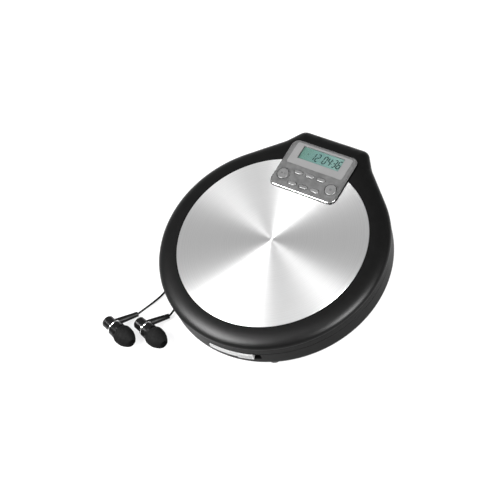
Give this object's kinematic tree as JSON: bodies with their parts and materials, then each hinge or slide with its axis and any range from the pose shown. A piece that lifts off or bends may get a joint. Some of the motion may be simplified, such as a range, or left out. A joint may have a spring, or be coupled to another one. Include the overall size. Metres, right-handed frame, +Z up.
{
  "type": "portable cd player with earphones",
  "caption": "Round portable disc player with hinged lid, brushed plate, key panel with display, side latch, and corded in-ear earphones plugged into it.",
  "frame": {"origin": "under the middle of the player's box, on the surface it stands on", "axes": "+Z up out of the lid, +Y towards the lid's hinge at the back, +X to the right seen from the latch at the front"},
  "size_m": [0.1473, 0.1783, 0.029],
  "materials": {
    "lid_plastic": "satin black, softly mottled",
    "plate_metal": "radially brushed silver",
    "inner_plastic": "moulded, matt",
    "screw_steel": "zinc plated",
    "panel_chrome": "bright",
    "panel_grey": "fine textured grey",
    "display_surround": "smooth grey",
    "display_glass": "clear",
    "display_face": "teal green",
    "circuit_board": "green solder mask",
    "key_silver": "satin silver",
    "cabinet_plastic": "satin dark grey",
    "contact_metal": "nickel plated",
    "foot_rubber": "matt",
    "latch_silver": "satin silver",
    "spring_steel": "bright drawn",
    "socket_plastic": "moulded black",
    "chip_plastic": "black epoxy",
    "chassis_steel": "zinc plated sheet",
    "damper_rubber": "soft rubber",
    "motor_steel": "plated can",
    "pickup_metal": "die cast",
    "lens_glass": "coated",
    "gear_plastic": "natural acetal",
    "pinion_brass": "turned",
    "plug_metal": "plated",
    "cord_black": "satin jacket",
    "bud_plastic": "gloss black",
    "bud_chrome": "bright",
    "ear_silicone": "matt silicone"
  },
  "bodies": {
    "base": {"upper_cabinet": "cabinet_plastic", "lower_cabinet": "cabinet_plastic", "battery_contacts": "contact_metal", "rubber_feet": "foot_rubber", "case_screws": "screw_steel", "latch_spring": "spring_steel", "hinge_spring": "spring_steel", "lid_switch_case": "inner_plastic", "headphone_jack": "socket_plastic", "line_out_jack": "socket_plastic", "dc_jack": "socket_plastic", "main_circuit_board": "circuit_board", "circuit_chips": "chip_plastic", "mechanism_chassis": "chassis_steel", "chassis_dampers": "damper_rubber", "mechanism_screws": "screw_steel", "spindle_motor": "motor_steel", "pickup_rods": "spring_steel", "sled_motor": "motor_steel"},
    "lid": {"lid_shell": "lid_plastic", "lid_trim_plate": "plate_metal", "lid_inner_cover": "inner_plastic", "lid_screws": "screw_steel", "panel_trim": "panel_chrome", "panel_frame": "panel_grey", "display_bezel": "display_surround", "display_window": "display_glass", "lcd_module": "display_face", "lid_circuit_board": "circuit_board", "hinge_pins": "spring_steel"},
    "battery_door_body": {"battery_door": "cabinet_plastic"},
    "latch": {"latch_slider": "latch_silver", "latch_hook": "inner_plastic"},
    "disc_platter": {"turntable": "inner_plastic", "disc_clamp_balls": "spring_steel"},
    "pickup": {"optical_pickup": "pickup_metal", "objective_lens": "lens_glass"},
    "gear_body": {"reduction_gear": "gear_plastic"},
    "pinion_body": {"motor_pinion": "pinion_brass"},
    "lid_switch": {"lid_switch_plunger": "inner_plastic"},
    "hold_switch": {"hold_slider": "latch_silver"},
    "earphones": {"headphone_plug": "plug_metal", "plug_grip": "cord_black", "plug_cord": "cord_black", "cord_hank": "cord_black", "cord_splitter": "cord_black", "left_cord": "cord_black", "right_cord": "cord_black", "earbud_housings": "bud_plastic", "earbud_rings": "bud_chrome", "ear_tips": "ear_silicone", "earbud_stems": "bud_plastic"},
    "play_key": {"play_button": "key_silver"},
    "stop_key": {"stop_button": "key_silver"},
    "skip_back_key": {"skip_back_button": "key_silver"},
    "skip_forward_key": {"skip_forward_button": "key_silver"},
    "mode_key": {"mode_button": "key_silver"},
    "volume_down_key": {"volume_down_button": "key_silver"},
    "volume_up_key": {"volume_up_button": "key_silver"},
    "folder_key": {"folder_button": "key_silver"}
  },
  "joints": [
    {"name": "lid_hinge", "type": "hinge", "parent": "base", "child": "lid", "pos_m": [0, 0.0705, 0.0226], "axis": [-1, 0, 0], "range_deg": [0, 70]},
    {"name": "battery_door_hinge", "type": "hinge", "parent": "base", "child": "battery_door_body", "pos_m": [0, 0.0151, 0.0034], "axis": [-1, 0, 0], "range_deg": [0, 95]},
    {"name": "latch_slide", "type": "hinge", "parent": "base", "child": "latch", "pos_m": [0, -0.0045, 0.0127], "axis": [0, 0, 1], "range_deg": [0, 3.3], "stiffness_Nm_per_rad": 0.5, "springref_deg": -1.72},
    {"name": "disc_spin", "type": "hinge", "parent": "base", "child": "disc_platter", "pos_m": [0, -0.0045, 0.02], "axis": [0, 0, 1], "continuous": true},
    {"name": "pickup_sled", "type": "slide", "parent": "base", "child": "pickup", "axis": [1, 0, 0], "range_m": [0, 0.0315]},
    {"name": "reduction_gear_turn", "type": "hinge", "parent": "base", "child": "gear_body", "pos_m": [0.03, -0.0261, 0.0111], "axis": [0, 0, 1], "range_deg": [-505, 0]},
    {"name": "motor_pinion_turn", "type": "hinge", "parent": "base", "child": "pinion_body", "pos_m": [0.02, -0.0261, 0.0097], "axis": [0, 0, 1], "range_deg": [0, 1510]},
    {"name": "lid_switch_press", "type": "slide", "parent": "base", "child": "lid_switch", "axis": [0, 0, -1], "range_m": [0, 0.0008], "stiffness_N_per_m": 100, "springref_m": -0.002},
    {"name": "hold_slide", "type": "hinge", "parent": "base", "child": "hold_switch", "pos_m": [0, -0.0045, 0.0105], "axis": [0, 0, 1], "range_deg": [0, 2.8]},
    {"name": "plug_pull", "type": "slide", "parent": "base", "child": "earphones", "axis": [-0.9848, 0.1736, 0], "range_m": [0, 0.014]},
    {"name": "play_press", "type": "slide", "parent": "lid", "child": "play_key", "axis": [0, 0, -1], "range_m": [0, 0.0005], "stiffness_N_per_m": 150, "springref_m": -0.001},
    {"name": "stop_press", "type": "slide", "parent": "lid", "child": "stop_key", "axis": [0, 0, -1], "range_m": [0, 0.0005], "stiffness_N_per_m": 150, "springref_m": -0.001},
    {"name": "skip_back_press", "type": "slide", "parent": "lid", "child": "skip_back_key", "axis": [0, 0, -1], "range_m": [0, 0.0005], "stiffness_N_per_m": 150, "springref_m": -0.001},
    {"name": "skip_forward_press", "type": "slide", "parent": "lid", "child": "skip_forward_key", "axis": [0, 0, -1], "range_m": [0, 0.0005], "stiffness_N_per_m": 150, "springref_m": -0.001},
    {"name": "mode_press", "type": "slide", "parent": "lid", "child": "mode_key", "axis": [0, 0, -1], "range_m": [0, 0.0005], "stiffness_N_per_m": 150, "springref_m": -0.001},
    {"name": "volume_down_press", "type": "slide", "parent": "lid", "child": "volume_down_key", "axis": [0, 0, -1], "range_m": [0, 0.0005], "stiffness_N_per_m": 150, "springref_m": -0.001},
    {"name": "volume_up_press", "type": "slide", "parent": "lid", "child": "volume_up_key", "axis": [0, 0, -1], "range_m": [0, 0.0005], "stiffness_N_per_m": 150, "springref_m": -0.001},
    {"name": "folder_press", "type": "slide", "parent": "lid", "child": "folder_key", "axis": [0, 0, -1], "range_m": [0, 0.0005], "stiffness_N_per_m": 150, "springref_m": -0.001}
  ],
  "couplings": [
    {"joint": "reduction_gear_turn", "follows": "pickup_sled", "rad_per_m": -277.78},
    {"joint": "motor_pinion_turn", "follows": "pickup_sled", "rad_per_m": 833.33}
  ]
}
